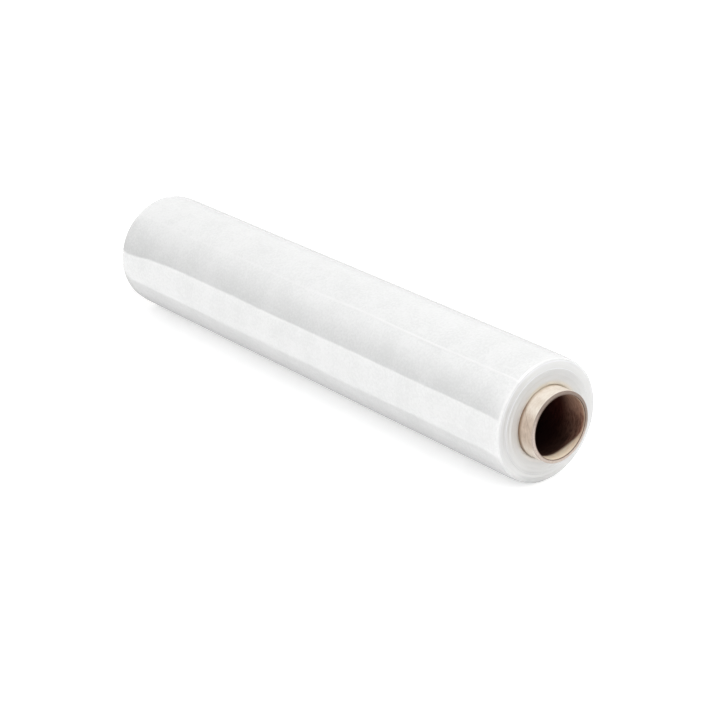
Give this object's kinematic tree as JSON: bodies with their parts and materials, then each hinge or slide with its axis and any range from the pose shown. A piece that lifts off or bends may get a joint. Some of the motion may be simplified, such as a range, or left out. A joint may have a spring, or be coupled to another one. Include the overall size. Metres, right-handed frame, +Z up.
{
  "type": "stretch film roll",
  "caption": "Roll of clear stretch film wound on a paper tube that sticks out at both ends, lying on its side on a small flat spot.",
  "frame": {"origin": "middle of the footprint, on the surface that the roll lies on", "axes": "+X along the roll and its bore, +Y across it, +Z up"},
  "size_m": [0.528, 0.0991, 0.0985],
  "materials": {
    "core_tube": "matte",
    "film_winding": "gloss"
  },
  "bodies": {
    "root": {"core_tube": "core_tube", "film_winding": "film_winding"}
  },
  "joints": []
}
